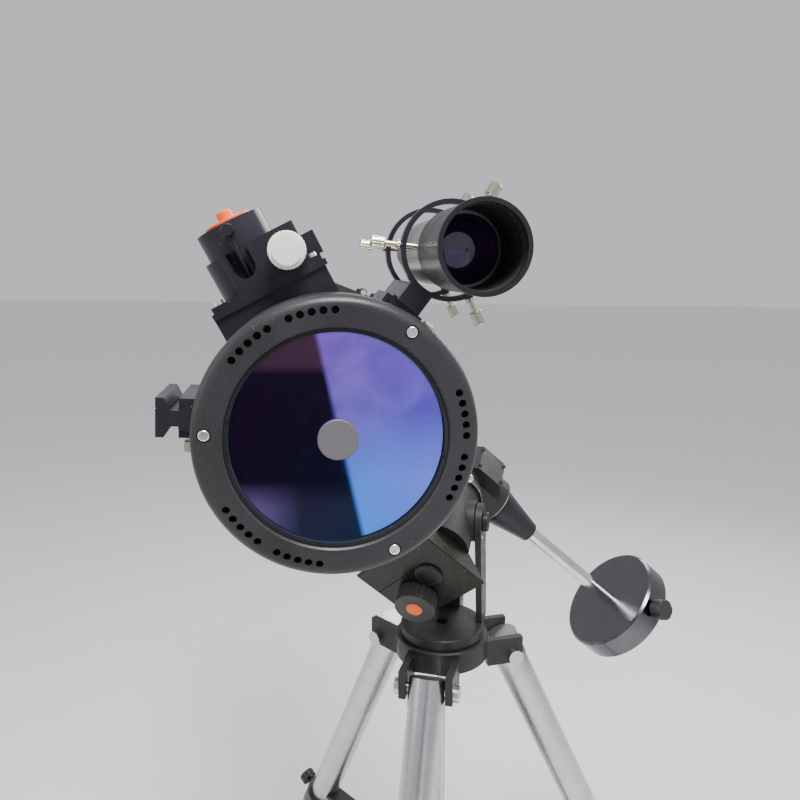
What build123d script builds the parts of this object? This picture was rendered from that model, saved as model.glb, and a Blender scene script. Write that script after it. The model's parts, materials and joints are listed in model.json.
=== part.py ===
from build123d import *
import os
from math import cos, radians, sin, sqrt

# Catadioptric Newtonian telescope on a German equatorial mount with a tripod.
# Millimetres, +Z up. The origin is on the ground, on the vertical azimuth axis.
# +Y points to the pole, and the open front of the tube looks towards -Y.

# ---- Attitude at rest --------------------------------------------------------
LATITUDE = 25.0            # tilt of the polar axis above the horizontal
HOUR_ANGLE = 43.5          # how far the counterweight has swung towards +X
TUBE_ANGLE = 33.0          # between the tube and the lower end of the polar axis

# ---- Main distances ----------------------------------------------------------
PIVOT_HEIGHT = 880.0       # latitude pivot above the ground
PIVOT_TO_DEC = 95.0        # latitude pivot to the declination axis
TUBE_OFFSET = 256.0        # polar axis to tube axis
DEC_TO_FRONT = 470.0       # declination axis to the front face of the tube

# ---- Optical tube (z = 0 is the front face, the tube runs towards -z) --------
TUBE_R = 90.0
TUBE_WALL = 1.0
TUBE_FRONT = -30.0
TUBE_REAR = -764.0
CELL_R = 100.5
CELL_DEPTH = 48.0
CELL_EDGE = 8.0
GLASS_R = 78.3
GLASS_SEAT_R = 78.5
CLEAR_R = 75.3
GLASS_FRONT = -6.0
GLASS_BACK = -11.0
VENT_CIRCLE_R = 90.5
VENT_R = 2.7
VENT_DEPTH = 12.0
SCREW_ANGLE = 6.7
SCREW_HEAD_R = 4.0
COVER_R = 14.5
DIAGONAL_R = 19.0
DIAGONAL_THICK = 6.0
MIRROR_R = 76.0
MIRROR_FACE = -709.0
MIRROR_BACK = -732.0
MIRROR_CURVE_R = 1500.0
REAR_CELL_R = 94.0
REAR_END = -770.0

# ---- Focuser (z outward from the tube axis, x forward) -----------------------
FOCUSER_ANGLE = 68.0
FOCUSER_STATION = -101.0
PLATE_LOW = 109.0
PLATE_MID = 113.5
PLATE_TOP = 118.0
SLEEVE_R = 31.5
SLEEVE_TOP = 148.0
DRAW_R = 27.0
DRAW_BORE_R = 25.45
EYEPIECE_BORE_R = 15.9      # 1.25 inch eyepieces
DRAW_TOP = 169.0
DRAW_BOTTOM = 88.0
PINION_R = 3.0
PINION_Y = 30.05
PINION_Z = 130.0
BLOCK_FRONT = 47.0
KNOB_R = 13.5
RAIL_Y = -3.0

# ---- Finder ------------------------------------------------------------------
FINDER_ANGLE = 3.5
FINDER_DISTANCE = 166.0
FINDER_TUBE_R = 29.0
FINDER_SHIELD_R = 32.6
FINDER_RING_R = 41.8
FINDER_RING_BORE = 37.6
FINDER_STATIONS = (-113.0, -208.0)

# ---- Accessory shoe ----------------------------------------------------------
SHOE_ANGLE = 127.5
SHOE_TOP = 115.5           # outer face of the shoe, from the tube axis
SHOE_STATION = -86.0

# ---- Tube rings and dovetail -------------------------------------------------
RING_STATIONS = (-375.0, -565.0)
RING_WIDTH = 26.0
RING_OUTER_R = 100.0
RING_BORE_R = 90.35
RING_SPLIT = 0.4
HINGE_X = 108.0
CLAMP_X = -107.0
BAR_TOP = -112.0
BAR_BOTTOM = -127.0
BAR_HALF = 22.0
BAR_TOP_HALF = 18.0

# ---- Declination and polar heads ---------------------------------------------
DEC_HOUSING_R = 35.5
DEC_TOP = -91.0
DEC_LOW = 75.0
CIRCLE_R = 27.0
CONE_START = 80.0
CONE_END = 149.0
SHAFT_R = 10.0
SHAFT_END = 392.0
WEIGHT_R = 79.0
WEIGHT_START = 321.0
WEIGHT_THICK = 38.0
WEIGHT_KNOB_ANGLE = -60.0
RA_HOUSING_R = 42.0
RA_FACE = 58.0
RA_SHAFT_R = 14.0
DEC_SHAFT_R = 12.0
DRIVE_TURN = -46.5         # the drive box sits askew on the polar housing
DRIVE_BACK = 150.0
DRIVE_FRONT = 192.0
WHEEL_X = 17.0             # hand wheel on the drive box, off the polar axis
WHEEL_Y = -39.0

# ---- Azimuth fork and tripod -------------------------------------------------
EAR_THICK = 8.0
PUSH_SCREW_DROP = 54.0     # latitude push screw below the pivot
BASE_BOTTOM = 720.0        # underside of the azimuth fork
HEAD_BOTTOM = 690.0
HEAD_R = 62.0
LEG_TOP_RADIUS = 92.0
LEG_TOP_HEIGHT = 688.0
FOOT_RADIUS = 410.0
FOOT_HEIGHT = 18.0
LEG_R = 22.0
EXTENSION_R = 18.0
LEG_ANGLES = (30.0, 150.0, 270.0)
TRAY_HEIGHT = 330.0

# ---- Directions and working frames -------------------------------------------
lat = radians(LATITUDE)
hour = radians(HOUR_ANGLE)
swing = radians(TUBE_ANGLE)
PIVOT = Vector(0, 0, PIVOT_HEIGHT)
POLAR_DOWN = Vector(0, -cos(lat), -sin(lat))
DEC_DOWN = Vector(sin(hour), cos(hour) * sin(lat), -cos(hour) * cos(lat))
DEC_SIDE = POLAR_DOWN.cross(DEC_DOWN)
TUBE_FORWARD = POLAR_DOWN * cos(swing) + DEC_SIDE * sin(swing)
HEAD = PIVOT - POLAR_DOWN * PIVOT_TO_DEC
FRONT = HEAD - DEC_DOWN * TUBE_OFFSET + TUBE_FORWARD * DEC_TO_FRONT

TUBE_X = (DEC_DOWN * -1).cross(TUBE_FORWARD)
tube_frame = Plane(origin=FRONT, x_dir=TUBE_X, z_dir=TUBE_FORWARD).location
head_frame = Plane(origin=HEAD, x_dir=DEC_DOWN, z_dir=POLAR_DOWN).location
dec_frame = Plane(origin=HEAD, x_dir=POLAR_DOWN, z_dir=DEC_DOWN).location
polar_frame = Plane(origin=HEAD, x_dir=(1, 0, 0), z_dir=POLAR_DOWN).location


def radial_plane(angle, station):
    """Frame on the tube axis: z points outward at angle, x points forward."""
    out = Vector(cos(radians(angle)), sin(radians(angle)), 0)
    return Plane(origin=(0, 0, station), x_dir=(0, 0, 1), z_dir=out)


focuser_frame = tube_frame * radial_plane(FOCUSER_ANGLE, FOCUSER_STATION).location


# ---- Small builders ----------------------------------------------------------
def rod(radius, z0, z1, x=0.0, y=0.0):
    return Pos(x, y, (z0 + z1) / 2) * Cylinder(radius, abs(z1 - z0))


def tube(outer, inner, z0, z1):
    return rod(outer, z0, z1) - rod(inner, z0 - 1, z1 + 1)


def block(x0, x1, y0, y1, z0, z1):
    centre = Pos((x0 + x1) / 2, (y0 + y1) / 2, (z0 + z1) / 2)
    return centre * Box(abs(x1 - x0), abs(y1 - y0), abs(z1 - z0))


def taper(r0, r1, z0, z1):
    """Cone frustum from radius r0 at z0 to radius r1 at z1, with z1 above z0."""
    return Pos(0, 0, (z0 + z1) / 2) * Cone(r0, r1, z1 - z0)


def along_x(shape):
    """Turn a shape built along z so that it lies along +x."""
    return Rot(0, 90, 0) * shape


def along_y(shape):
    """Turn a shape built along z so that it lies along +y."""
    return Rot(-90, 0, 0) * shape


def around(count, start=0.0):
    return [Rot(0, 0, start + 360.0 * i / count) for i in range(count)]


def ribbed(radius, z0, z1, ribs, depth):
    """Round grip with evenly spaced round grooves down its side."""
    body = rod(radius, z0, z1)
    body = chamfer(body.edges().filter_by(GeomType.CIRCLE), min(1.0, (z1 - z0) / 5))
    groove = rod(depth, z0 - 1, z1 + 1, x=radius + depth * 0.35)
    return body - [turn * groove for turn in around(ribs)]


def lobed_knob(radius, z0, z1, lobes):
    """Hand knob with broad scallops between its lobes."""
    body = rod(radius, z0, z1)
    body = fillet(body.edges().filter_by(GeomType.CIRCLE), (z1 - z0) / 5)
    scallop = rod(radius * 0.34, z0 - 1, z1 + 1, x=radius * 1.16)
    return body - [turn * scallop for turn in around(lobes, 180.0 / lobes)]


# ---- Optical tube ------------------------------------------------------------
def make_main_tube():
    shell = tube(TUBE_R, TUBE_R - TUBE_WALL, TUBE_REAR, TUBE_FRONT)
    opening = radial_plane(FOCUSER_ANGLE, FOCUSER_STATION).location * rod(DRAW_R + 2.5, 60, 120)
    return shell - opening


def vent_angles():
    """Two groups of five vents in each sector between the cell's three screws."""
    angles = []
    for sector in range(3):
        middle = SCREW_ANGLE + 60 + 120 * sector
        for group in (-15, 15):
            angles += [middle + group + 5 * step for step in range(-2, 3)]
    return angles


def make_front_cell():
    cell = rod(CELL_R, -CELL_DEPTH, 0)
    rim = cell.edges().filter_by(GeomType.CIRCLE).sort_by(Axis.Z)[-1]
    cell = fillet(rim, CELL_EDGE)
    back = cell.edges().filter_by(GeomType.CIRCLE).sort_by(Axis.Z)[0]
    cell = fillet(back, 3)
    cell -= rod(GLASS_SEAT_R, GLASS_BACK, 1)
    cell -= rod(CLEAR_R, TUBE_FRONT - 1, 1)
    cell -= rod(TUBE_R, -CELL_DEPTH - 1, TUBE_FRONT)
    mouth = cell.edges().filter_by(GeomType.CIRCLE).group_by(Axis.Z)[-1].sort_by(SortBy.RADIUS)[0]
    cell = chamfer(mouth, 1.2)
    vent = rod(VENT_R, -VENT_DEPTH, 1, x=VENT_CIRCLE_R)
    cell -= [Rot(0, 0, angle) * vent for angle in vent_angles()]
    recess = rod(SCREW_HEAD_R + 0.8, -1.6, 1, x=VENT_CIRCLE_R) + rod(2.0, -20, 0, x=VENT_CIRCLE_R)
    return cell - [turn * recess for turn in around(3, SCREW_ANGLE)]


def make_front_cell_screws():
    head = rod(SCREW_HEAD_R, -1.6, 0.6)
    head = fillet(head.edges().filter_by(GeomType.CIRCLE).sort_by(Axis.Z)[-1], 1.2)
    screw = head + rod(2.0, -18, -1.6)
    screw -= [Rot(0, 0, turn) * block(-2.2, 2.2, -0.45, 0.45, -0.5, 1) for turn in (20, 110)]
    return Part() + [turn * Pos(VENT_CIRCLE_R, 0, 0) * screw for turn in around(3, SCREW_ANGLE)]


def make_corrector_lens():
    return rod(GLASS_R, GLASS_BACK, GLASS_FRONT)


def make_corrector_ring():
    ring = tube(GLASS_R, CLEAR_R, GLASS_FRONT, -2.6)
    notch = block(CLEAR_R - 1, GLASS_R - 1.2, -1.5, 1.5, -3.6, 0)
    return ring - [turn * notch for turn in around(4, 30)]


def make_secondary_cover():
    cover = rod(COVER_R, GLASS_FRONT, -3.4)
    return fillet(cover.edges().filter_by(GeomType.CIRCLE).sort_by(Axis.Z)[-1], 0.8)


def diagonal_plane(offset):
    """Plane at 45 degrees that faces the primary mirror and the focuser."""
    angle = radians(FOCUSER_ANGLE)
    normal = Vector(cos(angle), sin(angle), -1) * (1 / sqrt(2))
    point = Vector(0, 0, FOCUSER_STATION) + normal * offset
    return Plane(origin=point, z_dir=normal)


def make_secondary_holder():
    barrel = rod(DIAGONAL_R, FOCUSER_STATION - DIAGONAL_R - 4, -34)
    barrel = split(barrel, bisect_by=diagonal_plane(-DIAGONAL_THICK), keep=Keep.BOTTOM)
    stalk = rod(9, -34, -18) + rod(COVER_R, -18, GLASS_BACK)
    return barrel + stalk


def make_secondary_mirror():
    slab = rod(DIAGONAL_R - 0.6, FOCUSER_STATION - 45, FOCUSER_STATION + 45)
    slab = split(slab, bisect_by=diagonal_plane(0), keep=Keep.BOTTOM)
    return split(slab, bisect_by=diagonal_plane(-DIAGONAL_THICK), keep=Keep.TOP)


def make_primary_mirror():
    blank = rod(MIRROR_R, MIRROR_BACK, MIRROR_FACE)
    return blank - Pos(0, 0, MIRROR_FACE + MIRROR_CURVE_R - 1.9) * Sphere(MIRROR_CURVE_R)


def make_mirror_cell():
    plate = rod(84, MIRROR_BACK - 8, MIRROR_BACK)
    plate -= rod(18, MIRROR_BACK - 9, MIRROR_BACK + 1)
    plate -= [turn * rod(14, MIRROR_BACK - 9, MIRROR_BACK + 1, x=50) for turn in around(3, 60)]
    post = block(MIRROR_R + 0.4, 84, -8, 8, MIRROR_BACK, MIRROR_FACE + 3)
    lip = block(70, 84, -8, 8, MIRROR_FACE, MIRROR_FACE + 3)
    return plate + [turn * (post + lip) for turn in around(3)]


def make_collimation_screws():
    screw = rod(3, REAR_END - 3, MIRROR_BACK - 8) + rod(9, REAR_END - 14, REAR_END - 3)
    return Part() + [turn * Pos(60, 0, 0) * screw for turn in around(3)]


def make_rear_cell():
    cell = rod(REAR_CELL_R, REAR_END, -738)
    cell = fillet(cell.edges().filter_by(GeomType.CIRCLE).sort_by(Axis.Z)[0], 4)
    cell -= rod(TUBE_R, TUBE_REAR, -737)
    cell -= rod(16, REAR_END - 1, TUBE_REAR + 1)
    cell -= [turn * rod(3.2, REAR_END - 1, TUBE_REAR + 1, x=60) for turn in around(3)]
    slot = rod(9, REAR_END - 1, TUBE_REAR + 1, x=58)
    return cell - [turn * slot for turn in around(3, 40)] - [turn * slot for turn in around(3, 80)]


# ---- Focuser -----------------------------------------------------------------
def make_focuser_base():
    arc = along_x(tube(97, TUBE_R, -52, 52))
    keep = block(-52, 52, -56, 56, 60, 110)
    riser = block(-50, 48, -40, 50, 80, PLATE_LOW)
    body = (arc & keep) + riser - along_x(rod(TUBE_R, -60, 60))
    body += block(-52, 50, -40, 52, PLATE_LOW, PLATE_MID)
    return body - draw_passage() - plate_bores()


def plate_corners():
    return [(x, y) for x in (-42, 42) for y in (-32, 44)]


def plate_bores():
    return [rod(2.0, 101, 120, x, y) for x, y in plate_corners()]


def draw_passage():
    """Room for the drawtube and the guide rail on its front."""
    return rod(DRAW_R + 2.5, 60, 120) + block(20, 31.2, RAIL_Y - 3, RAIL_Y + 3, 60, SLEEVE_TOP + 1)


def make_focuser_plates():
    """The saddle that hugs the tube, and the upper plate as a second solid."""
    plate = block(-50, 50, -38, 50, PLATE_MID, PLATE_TOP)
    return Compound(children=[make_focuser_base(), plate - draw_passage() - plate_bores()])


def make_tube_fasteners():
    """Socket screws of the focuser plate and hinge pins of the tube rings."""
    screw = rod(2.0, 101, PLATE_TOP) + rod(3.8, PLATE_TOP, PLATE_TOP + 3)
    screw -= rod(1.6, PLATE_TOP + 1.2, PLATE_TOP + 4)
    to_focuser = radial_plane(FOCUSER_ANGLE, FOCUSER_STATION).location
    screws = [to_focuser * Pos(x, y, 0) * screw for x, y in plate_corners()]
    pin = Pos(HINGE_X, 0, 0) * (rod(2.5, -13, 13) + rod(4, 13, 15))
    pins = [Pos(0, 0, station) * pin for station in RING_STATIONS]
    return Part() + screws + pins


def make_focuser_body():
    sleeve = rod(SLEEVE_R, PLATE_TOP, SLEEVE_TOP)
    front = block(0, BLOCK_FRONT, -16, 43, PLATE_TOP, SLEEVE_TOP)
    rear = block(-40, 0, 10, 43, PLATE_TOP, SLEEVE_TOP)
    step = block(-22, 32, 43, 54, PLATE_TOP, 136)
    body = sleeve + front + rear + step
    body = chamfer(body.edges().filter_by(Axis.Z).sort_by(Axis.X)[-2:], 1.5)
    body -= rod(DRAW_R + 0.2, PLATE_TOP - 1, SLEEVE_TOP + 1)
    body -= block(20, 31.2, RAIL_Y - 3, RAIL_Y + 3, PLATE_TOP - 1, SLEEVE_TOP + 1)
    notch = block(20, 60, RAIL_Y - 8.5, RAIL_Y + 8.5, 134, SLEEVE_TOP + 1)
    notch += along_x(rod(8.5, 20, 60, x=-134, y=RAIL_Y))
    channel = along_x(rod(PINION_R + 0.05, -60, 60, x=-PINION_Z, y=PINION_Y))
    screw_holes = [rod(4.2, 100, PLATE_TOP + 4, 42, 44), rod(4.2, 100, PLATE_TOP + 4, -42, 44)]
    return body - notch - channel - screw_holes


def make_focuser_drawtube():
    wall = tube(DRAW_R, DRAW_BORE_R, DRAW_BOTTOM, DRAW_TOP)
    end_ring = tube(DRAW_R, EYEPIECE_BORE_R, DRAW_TOP - 14, DRAW_TOP)
    rail = rod(2.4, 112, DRAW_TOP - 14, x=DRAW_R + 1, y=RAIL_Y)
    hole = along_x(rod(2.5, 10, 40, x=-162, y=-1))
    return wall + end_ring + rail - hole


def make_eyepiece_screw():
    stem = rod(2.5, EYEPIECE_BORE_R + 0.5, 33)
    head = ribbed(5.0, 33, 43, 14, 0.5)
    return Pos(0, -1, 162) * along_x(stem + head)


def make_pinion_shaft():
    return Pos(0, PINION_Y, PINION_Z) * along_x(rod(PINION_R, -52, 52))


def make_focus_knobs():
    face = rod(KNOB_R - 3, 70, 71.2)
    front = ribbed(KNOB_R, 52, 70, 30, 0.5) + rod(8, 48, 52) + face
    rear = ribbed(KNOB_R, -70, -52, 30, 0.5) + rod(8, -52, -41)
    hub = rod(PINION_R, -52, 52)
    return Pos(0, PINION_Y, PINION_Z) * along_x(front + rear - hub)


def make_dust_cap():
    plug_r = EYEPIECE_BORE_R - 0.15
    plug = rod(plug_r, 157, DRAW_TOP) - rod(plug_r - 2, 156, DRAW_TOP - 2)
    lid = rod(18.5, DRAW_TOP, DRAW_TOP + 3)
    lid = fillet(lid.edges().filter_by(GeomType.CIRCLE).sort_by(Axis.Z)[-1], 1)
    grip = rod(6, DRAW_TOP + 3, DRAW_TOP + 10.5)
    grip = fillet(grip.edges().filter_by(GeomType.CIRCLE).sort_by(Axis.Z)[-1], 1.5)
    return plug + lid + grip


# ---- Finder ------------------------------------------------------------------
def finder_at(shape):
    angle = radians(FINDER_ANGLE)
    centre = Pos(FINDER_DISTANCE * cos(angle), FINDER_DISTANCE * sin(angle), 0)
    return centre * Rot(0, 0, FINDER_ANGLE) * shape


def make_finder_tube():
    body = rod(FINDER_TUBE_R, -205, -62) + taper(14, FINDER_TUBE_R, -262, -205)
    cavity = rod(FINDER_TUBE_R - 2, -203, -66) + taper(11, FINDER_TUBE_R - 3, -263, -203)
    return body - cavity - rod(FINDER_TUBE_R - 2.5, -67, -61)


def make_finder_dew_shield():
    shield = tube(FINDER_SHIELD_R, FINDER_TUBE_R + 1, -62, 0)
    lip = tube(FINDER_SHIELD_R, FINDER_TUBE_R, -82, -62)
    edge = tube(FINDER_SHIELD_R + 0.8, FINDER_TUBE_R + 1, -4, 0)
    baffles = [tube(FINDER_TUBE_R + 1, FINDER_TUBE_R - 0.2, z - 1.2, z) for z in (-16, -28, -40, -52)]
    return shield + lip + edge + baffles


def make_finder_lens():
    lens = rod(FINDER_TUBE_R - 2.5, -66, -62)
    dome = Pos(0, 0, -62 - 98) * Sphere(103) & rod(FINDER_TUBE_R - 2.5, -63, -50)
    return lens + dome


def make_finder_eyepiece():
    barrel = tube(13.9, 10, -275, -262) + tube(17, 10, -305, -275)
    return chamfer(barrel.edges().filter_by(GeomType.CIRCLE).sort_by(Axis.Z)[0:2], 0.8)


def make_finder_bracket():
    rings = [tube(FINDER_RING_R, FINDER_RING_BORE, z - 4.5, z + 4.5) for z in FINDER_STATIONS]
    spine = block(-58.5, -FINDER_RING_R + 1.5, -11, 11, -212.5, -108.5)
    foot = block(-66, -56, -14, 14, -200, -124)
    body = spine + foot + rings
    body -= rod(FINDER_RING_BORE, -230, -90)
    bores = [finder_screw_place(z, turn) * rod(2.6, 30, 50) for z, turn in finder_screw_list()]
    return body - bores


def finder_screw_list():
    return [(z, turn) for z in FINDER_STATIONS for turn in (1.5, 121.5, 241.5)]


def finder_screw_place(station, angle):
    return Pos(0, 0, station) * Rot(0, 0, angle) * Rot(0, 90, 0)


def finder_alignment_screws():
    stem = rod(2.6, FINDER_TUBE_R, 56)
    nut = ribbed(4.2, 42, 46, 10, 0.4)
    head = ribbed(5.4, 55, 67, 16, 0.5)
    screw = stem + nut + head
    return [finder_screw_place(z, turn) * screw for z, turn in finder_screw_list()]


# ---- Shoes on the tube -------------------------------------------------------
def make_finder_shoe():
    outer = block(TUBE_R - 3, 108, -19, 19, -196, -128)
    slot = block(99.9, 110, -14.1, 14.1, -197, -127)
    hole = Pos(104, 0, -150) * along_y(rod(3.05, -30, 0))
    shoe = outer - slot - rod(TUBE_R, -220, -100) - hole
    return Rot(0, 0, FINDER_ANGLE) * shoe


def make_thumb_screws():
    """Finder alignment screws and the lock screws of the two shoes."""
    finder = Pos(104, 0, -150) * along_y(rod(3, -26, -14) + ribbed(6, -36, -26, 14, 0.5))
    side = Pos(SHOE_TOP - 5.5, 0, 0) * along_y(rod(3, 11, 23) + ribbed(5.5, 23, 33, 14, 0.5))
    tip = along_x(rod(2.5, SHOE_TOP + 18.5, SHOE_TOP + 22) + rod(4, SHOE_TOP + 16.5, SHOE_TOP + 18.5))
    shoe_place = Rot(0, 0, SHOE_ANGLE) * Pos(0, 0, SHOE_STATION)
    screws = [Rot(0, 0, FINDER_ANGLE) * finder, shoe_place * (side + tip)]
    return Part() + screws + [finder_at(screw) for screw in finder_alignment_screws()]


def shoe_tongue(edge):
    """Dovetail tongue of the accessory shoe, 65 mm long and drawn in by edge."""
    low, high = SHOE_TOP - 11 + edge, SHOE_TOP + 0.1 - edge
    corners = [(low, -11 + edge), (high, -8 + edge), (high, 8 - edge), (low, 11 - edge)]
    return extrude(make_face(Polyline(*corners, close=True)), 65)


def make_accessory_shoe():
    outer = block(TUBE_R - 3, SHOE_TOP, -15, 15, SHOE_STATION - 36, SHOE_STATION + 28)
    slot = Pos(0, 0, SHOE_STATION - 36.5) * shoe_tongue(0)
    hole = Pos(SHOE_TOP - 5.5, 0, SHOE_STATION) * along_y(rod(3.05, 0, 30))
    return Rot(0, 0, SHOE_ANGLE) * (outer - slot - rod(TUBE_R, -130, -50) - hole)


def make_accessory_adapter():
    web = block(SHOE_TOP - 1, SHOE_TOP + 8, -6, 6, 0, 62)
    root = shoe_tongue(0.15) & block(0, SHOE_TOP + 5, -20, 20, 0, 62)
    low, flare, high = SHOE_TOP + 6.5, SHOE_TOP + 10.5, SHOE_TOP + 16.5
    corners = [(low, -8), (low, 8), (flare, 14.5), (high, 14.5), (high, -15.5), (flare, -15.5)]
    flange = extrude(make_face(Polyline(*corners, close=True)), 62)
    return Rot(0, 0, SHOE_ANGLE) * Pos(0, 0, SHOE_STATION - 32) * (web + root + flange)


# ---- Tube rings, dovetail and saddle -----------------------------------------
def ring_half(side):
    """Half of a ring band about the tube, above (+1) or below (-1) the split."""
    band = tube(RING_OUTER_R, RING_BORE_R, -RING_WIDTH / 2, RING_WIDTH / 2)
    half = block(-120, 120, side * RING_SPLIT, side * 120, -20, 20)
    return band & half


def make_rings_lower():
    lug = block(CLAMP_X - 9, -96, -12, -RING_SPLIT, -13, 13) - along_y(rod(3.7, -20, 5, x=CLAMP_X))
    eye = Pos(HINGE_X, 0, 0) * (rod(5.5, -13, -5) + rod(5.5, 5, 13))
    arm = block(97, HINGE_X, -9, -RING_SPLIT, -13, -5) + block(97, HINGE_X, -9, -RING_SPLIT, 5, 13)
    foot = block(-22, 22, BAR_TOP, -96, -13, 13)
    half = ring_half(-1) + lug + eye + arm + foot - rod(RING_BORE_R, -20, 20)
    half -= Pos(HINGE_X, 0, 0) * rod(2.5, -20, 20)
    return Part() + [Pos(0, 0, station) * half for station in RING_STATIONS]


def make_ring_upper(station):
    """Hinged half of one tube ring, with its clamp screw as a second solid."""
    lug = block(CLAMP_X - 9, -96, RING_SPLIT, 12, -13, 13) - along_y(rod(3.0, -5, 20, x=CLAMP_X))
    eye = Pos(HINGE_X, 0, 0) * rod(5.5, -4.6, 4.6)
    arm = block(97, HINGE_X, RING_SPLIT, 9, -4.6, 4.6)
    half = ring_half(1) + lug + eye + arm - rod(RING_BORE_R, -20, 20)
    half -= Pos(HINGE_X, 0, 0) * rod(2.55, -20, 20)
    knob = rod(3.0, -9, 12) + lobed_knob(12, 12, 26, 6)
    clamp = Pos(CLAMP_X, 0, 0) * along_y(knob)
    return Part() + [Pos(0, 0, station) * half, Pos(0, 0, station) * clamp]


def bar_profile():
    corners = [(-BAR_HALF, BAR_BOTTOM), (BAR_HALF, BAR_BOTTOM)]
    corners += [(BAR_TOP_HALF, BAR_TOP), (-BAR_TOP_HALF, BAR_TOP)]
    return make_face(Polyline(*corners, close=True))


def make_dovetail_bar():
    return Pos(0, 0, -610) * extrude(bar_profile(), 280)


def make_saddle():
    centre = -DEC_TO_FRONT
    body = block(-38, 38, -148, -115, centre - 45, centre + 45)
    body = chamfer(body.edges().filter_by(Axis.Y), 6)
    body -= Pos(0, 0, centre - 60) * extrude(bar_profile(), 120)
    body -= block(-BAR_TOP_HALF - 0.5, BAR_TOP_HALF + 0.5, BAR_TOP - 3.2, -100, centre - 60, centre + 60)
    neck = Pos(0, 0, centre) * along_y(taper(DEC_HOUSING_R - 0.5, 37, -TUBE_OFFSET - DEC_TOP + 0.4, -148))
    bore = Pos(0, 0, centre) * along_x(rod(4.05, 20, 50, y=-121))
    return body + neck - bore


def make_saddle_knob():
    knob = rod(4, 21.5, 42) + lobed_knob(17, 42, 62, 7)
    shape = Pos(0, -121, -DEC_TO_FRONT) * along_x(knob)
    return shape - Pos(0, 0, -DEC_TO_FRONT - 60) * extrude(bar_profile(), 120)


# ---- Declination head --------------------------------------------------------
def make_dec_housing():
    barrel = rod(DEC_HOUSING_R, DEC_TOP, DEC_LOW)
    barrel = chamfer(barrel.edges().filter_by(GeomType.CIRCLE), 1.5)
    neck = along_x(rod(38, 0, RA_FACE - 10))
    gear_cover = block(-24, 24, -48, -20, -2, 54)
    gear_cover = chamfer(gear_cover.edges().filter_by(Axis.X), 8)
    bore = rod(DEC_SHAFT_R + 0.05, DEC_TOP - 1, 40)
    return barrel + neck + gear_cover - bore


def make_dec_shaft():
    return rod(DEC_SHAFT_R, DEC_TOP - 0.4, 39)


def make_dec_circle():
    return rod(CIRCLE_R, DEC_LOW, CONE_START)


def make_dec_cone():
    cone = taper(CIRCLE_R + 0.5, 15, CONE_START + 4, CONE_END - 2)
    cone += rod(CIRCLE_R + 0.5, CONE_START, CONE_START + 4) + rod(15, CONE_END - 2, CONE_END)
    return cone - rod(SHAFT_R, CONE_START + 10, CONE_END + 1)


def make_counterweight_bar():
    bar = rod(SHAFT_R, CONE_START + 10, SHAFT_END)
    return chamfer(bar.edges().filter_by(GeomType.CIRCLE), 1)


def make_bar_stop():
    stop = rod(17, SHAFT_END, SHAFT_END + 9)
    return fillet(stop.edges().filter_by(GeomType.CIRCLE), 2)


def weight_knob_frame():
    """Frame of the lock knob: z points out of the weight's rim."""
    out = Vector(cos(radians(WEIGHT_KNOB_ANGLE)), sin(radians(WEIGHT_KNOB_ANGLE)), 0)
    return Plane(origin=(0, 0, WEIGHT_START + WEIGHT_THICK / 2), z_dir=out).location


def make_counterweight():
    weight = rod(WEIGHT_R, WEIGHT_START, WEIGHT_START + WEIGHT_THICK)
    weight = chamfer(weight.edges().filter_by(GeomType.CIRCLE), 3)
    weight -= rod(SHAFT_R + 0.3, WEIGHT_START - 1, WEIGHT_START + WEIGHT_THICK + 1)
    return weight - weight_knob_frame() * rod(5, 0, WEIGHT_R + 5)


def make_weight_knob():
    knob = rod(5, SHAFT_R + 1, WEIGHT_R + 4) + lobed_knob(15, WEIGHT_R + 4, WEIGHT_R + 22, 6)
    return weight_knob_frame() * knob


def make_ra_circle():
    return rod(46, RA_FACE - 10, RA_FACE - 0.3)


def make_ra_shaft():
    return rod(RA_SHAFT_R, RA_FACE - 0.3, 140)


# ---- Polar head --------------------------------------------------------------
def make_ra_housing():
    body = rod(RA_HOUSING_R, RA_FACE, DRIVE_BACK)
    body += Pos(0, 0, PIVOT_TO_DEC) * along_x(rod(27, -44, 44))
    body += block(-14, 14, -72, -30, PIVOT_TO_DEC - 22, PIVOT_TO_DEC + 22)
    clutch = Pos(0, 0, 78) * along_y(rod(9, 38, 50))
    body += clutch
    body -= rod(RA_SHAFT_R + 0.05, RA_FACE - 1, 142)
    pivots = along_x(rod(8.05, 38, 60) + rod(8.05, -60, -38))
    return body - Pos(0, 0, PIVOT_TO_DEC) * pivots


def make_clutch_lever():
    lever = rod(7, 50, 62) + Pos(0, 0, 57) * along_x(rod(4, 0, 34)) + Pos(34, 0, 57) * Sphere(6.5)
    return Pos(0, 0, 78) * along_y(lever)


def make_drive_box():
    """Motor and worm cover at the low end of the polar housing, drafted to the back."""
    front = Pos(0, -19, DRIVE_FRONT) * Rectangle(104, 128)
    back = Pos(-3, -21, DRIVE_BACK) * Rectangle(72, 98)
    box = loft([front, back])
    corners = box.edges().filter_by(lambda edge: DRIVE_BACK + 5 < edge.center().Z < DRIVE_FRONT - 5)
    low_corner = corners.sort_by(lambda edge: edge.center().X - edge.center().Y)[-1]
    box = chamfer(low_corner, 30)
    box = chamfer(box.faces().sort_by(Axis.Z)[-1].edges(), 1.6)
    seam = block(-15.6, -14.6, -84, -24, DRIVE_FRONT - 1.2, DRIVE_FRONT + 1)
    box -= seam + rod(17, DRIVE_FRONT - 6, DRIVE_FRONT + 1)
    return Rot(0, 0, DRIVE_TURN) * (box - wheel_place() * rod(6.05, -30, 10))


def wheel_place():
    return Pos(WHEEL_X, WHEEL_Y, DRIVE_FRONT)


def make_polar_cover():
    cover = rod(17, DRIVE_FRONT - 6, DRIVE_FRONT + 4)
    cover = fillet(cover.edges().filter_by(GeomType.CIRCLE).sort_by(Axis.Z)[-1], 2)
    return cover - rod(11, DRIVE_FRONT + 3, DRIVE_FRONT + 5)


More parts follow.
